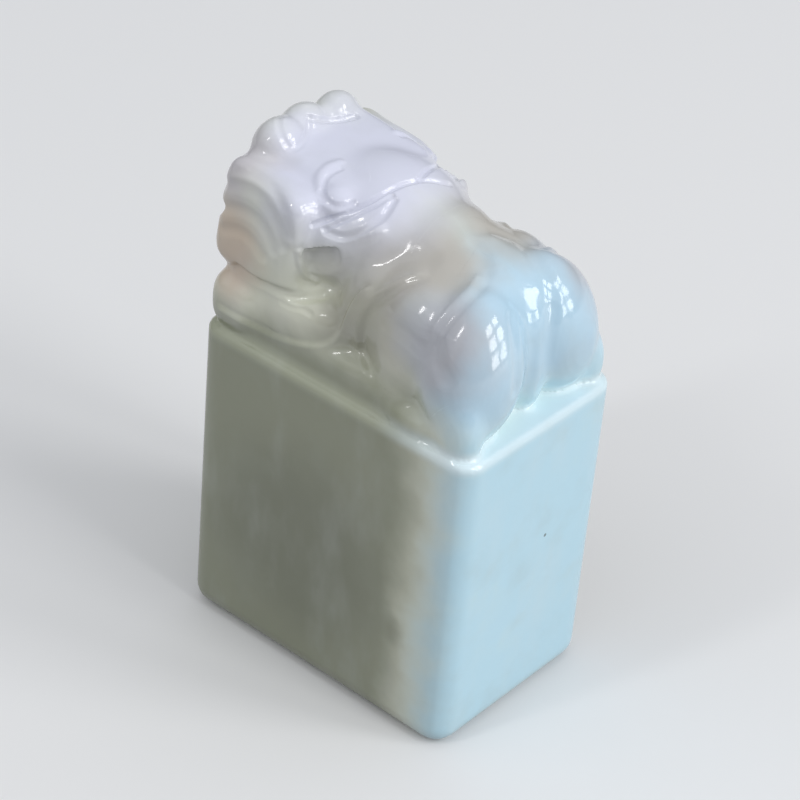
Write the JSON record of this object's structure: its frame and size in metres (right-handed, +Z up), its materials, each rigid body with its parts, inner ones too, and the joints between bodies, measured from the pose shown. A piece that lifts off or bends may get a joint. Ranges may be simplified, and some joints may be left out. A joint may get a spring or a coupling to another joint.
{
  "type": "seal stamp",
  "caption": "Carved stone seal stamp: a square-cut block with a blank stamping face below and a recumbent guardian beast as its grip.",
  "frame": {"origin": "centre of the stamping face", "axes": "+Z up from the stamping face to the beast, the beast looks along -X, X along the block's longer side"},
  "size_m": [0.02, 0.0132, 0.032],
  "materials": {
    "green_jade": "polished translucent stone",
    "lavender_jade": "polished translucent stone"
  },
  "bodies": {
    "root": {"bed": "green_jade", "brow": "lavender_jade", "chest": "lavender_jade", "ear_left": "lavender_jade", "ear_right": "lavender_jade", "eye_left": "lavender_jade", "eye_right": "lavender_jade", "fore_paw_left": "green_jade", "fore_paw_right": "green_jade", "forearm_left": "green_jade", "forearm_right": "green_jade", "haunch_left": "lavender_jade", "haunch_right": "lavender_jade", "hind_paw_left": "lavender_jade", "hind_paw_right": "lavender_jade", "lower_leg_left": "lavender_jade", "lower_leg_right": "lavender_jade", "muzzle": "lavender_jade", "neck_roll": "lavender_jade", "nose_tip": "lavender_jade", "nostril_left": "lavender_jade", "nostril_right": "lavender_jade", "rump": "lavender_jade", "seal_block": "green_jade", "shoulder_left": "lavender_jade", "shoulder_right": "lavender_jade", "skull": "lavender_jade", "spine_ridge": "lavender_jade", "tail": "lavender_jade", "thigh_left": "lavender_jade", "thigh_right": "lavender_jade", "torso": "lavender_jade"}
  },
  "joints": []
}
